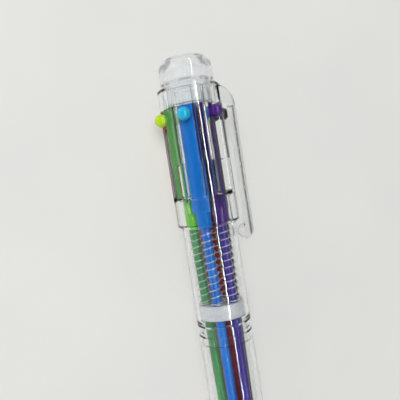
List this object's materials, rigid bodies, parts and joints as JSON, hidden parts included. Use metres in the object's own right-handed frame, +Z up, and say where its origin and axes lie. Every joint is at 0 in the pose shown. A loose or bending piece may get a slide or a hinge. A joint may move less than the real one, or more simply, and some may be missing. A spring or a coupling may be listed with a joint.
{
  "type": "multicolor click pen",
  "caption": "Clear ballpoint pen with six coloured slide buttons, each pushing its own sprung refill out of one nose.",
  "frame": {"origin": "under the middle of the pen, on the surface that it lies on", "axes": "+Y along the pen towards its cap, +Z up, with the clip up and to the +X side"},
  "size_m": [0.018, 0.144, 0.0155],
  "materials": {
    "clear_plastic": "clear polystyrene, polished mould",
    "milky_plastic": "translucent polypropylene",
    "spring_steel": "drawn wire, nickel plated",
    "point_brass": "turned",
    "ball_carbide": "ground",
    "orange_slider": "translucent moulded polystyrene",
    "orange_tube": "translucent extruded tube",
    "orange_ink": "liquid ink paste",
    "green_slider": "translucent moulded polystyrene",
    "green_tube": "translucent extruded tube",
    "green_ink": "liquid ink paste",
    "blue_slider": "translucent moulded polystyrene",
    "blue_tube": "translucent extruded tube",
    "blue_ink": "liquid ink paste",
    "purple_slider": "translucent moulded polystyrene",
    "purple_tube": "translucent extruded tube",
    "purple_ink": "liquid ink paste",
    "black_slider": "translucent moulded polystyrene",
    "black_tube": "translucent extruded tube",
    "black_ink": "liquid ink paste",
    "red_slider": "translucent moulded polystyrene",
    "red_tube": "translucent extruded tube",
    "red_ink": "liquid ink paste"
  },
  "bodies": {
    "barrel": {"upper_barrel": "clear_plastic", "clip_collar": "clear_plastic", "guide_core": "clear_plastic", "end_cap": "clear_plastic", "spring_seat": "milky_plastic", "lower_barrel": "clear_plastic", "orange_spring": "spring_steel", "green_spring": "spring_steel", "blue_spring": "spring_steel", "purple_spring": "spring_steel", "black_spring": "spring_steel", "red_spring": "spring_steel"},
    "clip": {"pocket_clip": "clear_plastic"},
    "orange_plunger": {"orange_slider": "orange_slider", "orange_tube": "orange_tube", "orange_ink": "orange_ink"},
    "orange_tip": {"orange_point": "point_brass", "orange_ball": "ball_carbide"},
    "green_plunger": {"green_slider": "green_slider", "green_tube": "green_tube", "green_ink": "green_ink"},
    "green_tip": {"green_point": "point_brass", "green_ball": "ball_carbide"},
    "blue_plunger": {"blue_slider": "blue_slider", "blue_tube": "blue_tube", "blue_ink": "blue_ink"},
    "blue_tip": {"blue_point": "point_brass", "blue_ball": "ball_carbide"},
    "purple_plunger": {"purple_slider": "purple_slider", "purple_tube": "purple_tube", "purple_ink": "purple_ink"},
    "purple_tip": {"purple_point": "point_brass", "purple_ball": "ball_carbide"},
    "black_plunger": {"black_slider": "black_slider", "black_tube": "black_tube", "black_ink": "black_ink"},
    "black_tip": {"black_point": "point_brass", "black_ball": "ball_carbide"},
    "red_plunger": {"red_slider": "red_slider", "red_tube": "red_tube", "red_ink": "red_ink"},
    "red_tip": {"red_point": "point_brass", "red_ball": "ball_carbide"}
  },
  "joints": [
    {"name": "clip_flex", "type": "hinge", "parent": "barrel", "child": "clip", "pos_m": [0.00691, 0.0588, 0.01188], "axis": [-0.5, 0, 0.866], "range_deg": [0, 5], "stiffness_Nm_per_rad": 0.3, "springref_deg": -1.15},
    {"name": "orange_slide", "type": "slide", "parent": "barrel", "child": "orange_plunger", "axis": [0, -1, 0], "range_m": [0, 0.013], "stiffness_N_per_m": 120, "springref_m": -0.008, "deforming": ["orange_spring"]},
    {"name": "orange_lean", "type": "hinge", "parent": "orange_plunger", "child": "orange_tip", "pos_m": [-0.00157, -0.0418, 0.00548], "axis": [-0.866, 0, 0.5], "range_deg": [0, 4.14], "deforming": ["orange_tube", "orange_ink"]},
    {"name": "green_slide", "type": "slide", "parent": "barrel", "child": "green_plunger", "axis": [0, -1, 0], "range_m": [0, 0.013], "stiffness_N_per_m": 120, "springref_m": -0.008, "deforming": ["green_spring"]},
    {"name": "green_lean", "type": "hinge", "parent": "green_plunger", "child": "green_tip", "pos_m": [-0.00287, -0.0418, 0.00773], "axis": [0, 0, 1], "range_deg": [0, 4.14], "deforming": ["green_tube", "green_ink"]},
    {"name": "blue_slide", "type": "slide", "parent": "barrel", "child": "blue_plunger", "axis": [0, -1, 0], "range_m": [0, 0.013], "stiffness_N_per_m": 120, "springref_m": -0.008, "deforming": ["blue_spring"]},
    {"name": "blue_lean", "type": "hinge", "parent": "blue_plunger", "child": "blue_tip", "pos_m": [-0.00157, -0.0418, 0.00998], "axis": [0.866, 0, 0.5], "range_deg": [0, 4.14], "deforming": ["blue_tube", "blue_ink"]},
    {"name": "purple_slide", "type": "slide", "parent": "barrel", "child": "purple_plunger", "axis": [0, -1, 0], "range_m": [0, 0.013], "stiffness_N_per_m": 120, "springref_m": -0.008, "deforming": ["purple_spring"]},
    {"name": "purple_lean", "type": "hinge", "parent": "purple_plunger", "child": "purple_tip", "pos_m": [0.00102, -0.0418, 0.00998], "axis": [0.866, 0, -0.5], "range_deg": [0, 4.14], "deforming": ["purple_tube", "purple_ink"]},
    {"name": "black_slide", "type": "slide", "parent": "barrel", "child": "black_plunger", "axis": [0, -1, 0], "range_m": [0, 0.013], "stiffness_N_per_m": 120, "springref_m": -0.008, "deforming": ["black_spring"]},
    {"name": "black_lean", "type": "hinge", "parent": "black_plunger", "child": "black_tip", "pos_m": [0.00232, -0.0418, 0.00773], "axis": [0, 0, -1], "range_deg": [0, 4.14], "deforming": ["black_tube", "black_ink"]},
    {"name": "red_slide", "type": "slide", "parent": "barrel", "child": "red_plunger", "axis": [0, -1, 0], "range_m": [0, 0.013], "stiffness_N_per_m": 120, "springref_m": -0.008, "deforming": ["red_spring"]},
    {"name": "red_lean", "type": "hinge", "parent": "red_plunger", "child": "red_tip", "pos_m": [0.00102, -0.0418, 0.00548], "axis": [-0.866, 0, -0.5], "range_deg": [0, 4.14], "deforming": ["red_tube", "red_ink"]}
  ],
  "couplings": [
    {"joint": "orange_lean", "follows": "orange_slide", "rad_per_m": 5.5299},
    {"joint": "green_lean", "follows": "green_slide", "rad_per_m": 5.5299},
    {"joint": "blue_lean", "follows": "blue_slide", "rad_per_m": 5.5299},
    {"joint": "purple_lean", "follows": "purple_slide", "rad_per_m": 5.5299},
    {"joint": "black_lean", "follows": "black_slide", "rad_per_m": 5.5299},
    {"joint": "red_lean", "follows": "red_slide", "rad_per_m": 5.5299}
  ]
}
